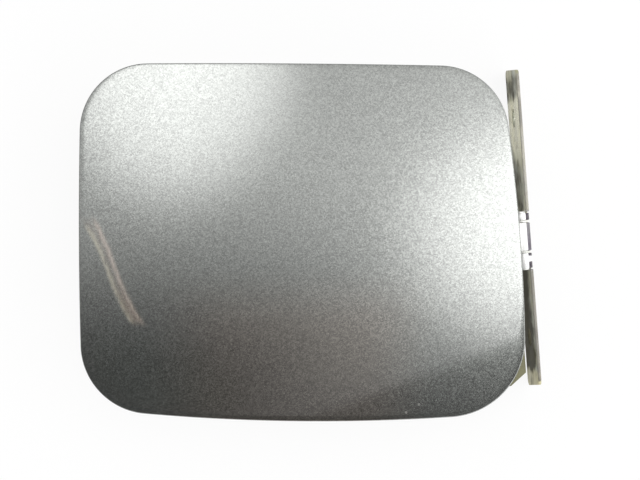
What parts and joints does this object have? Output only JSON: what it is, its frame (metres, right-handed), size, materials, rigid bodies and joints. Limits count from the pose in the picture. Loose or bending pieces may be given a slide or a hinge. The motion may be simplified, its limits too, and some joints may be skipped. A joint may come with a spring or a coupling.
{
  "type": "car fuel door",
  "caption": "Hemmed steel fuel filler door with an inner panel, a latch striker and a strap hinge on a base plate.",
  "frame": {"origin": "middle of the two hinge screw holes, on the base plate's face that lies against the car body", "axes": "+X out of that mounting face, away from the door; +Y up along the hinge pin; +Z out of the painted face of the closed door"},
  "size_m": [0.17, 0.1388, 0.033],
  "materials": {
    "paint": "dark grey metallic with clearcoat",
    "primer": "olive primer, satin",
    "plated_base": "yellow-green passivated zinc, dirty",
    "plated_leaf": "yellow-green passivated zinc",
    "bright_steel": "bright zinc",
    "spring_steel": "bright spring steel",
    "washer_plastic": "natural nylon",
    "sealer": "cured seam sealer",
    "mastic": "soft black mastic",
    "buffer_rubber": "matte black rubber",
    "holder_plastic": "black moulded plastic"
  },
  "bodies": {
    "body_side": {"hinge_base": "plated_base", "hinge_pin": "bright_steel", "washer_top": "washer_plastic", "washer_bottom": "washer_plastic", "detent_spring": "spring_steel", "spring_rivet": "bright_steel"},
    "door": {"hinge_leaf": "plated_leaf", "hinge_reinforcement": "primer", "outer_panel": "paint", "inner_panel": "primer", "hem_sealer": "sealer", "mastic_pads": "mastic", "striker": "plated_leaf", "striker_rivets": "bright_steel", "buffer_top": "buffer_rubber", "buffer_bottom": "buffer_rubber", "cap_holder": "holder_plastic", "cap_holder_rivets": "holder_plastic"}
  },
  "joints": [
    {"name": "door_hinge", "type": "hinge", "parent": "body_side", "child": "door", "pos_m": [-0.003, 0, 0.012], "axis": [0, 1, 0], "range_deg": [0, 95]}
  ]
}
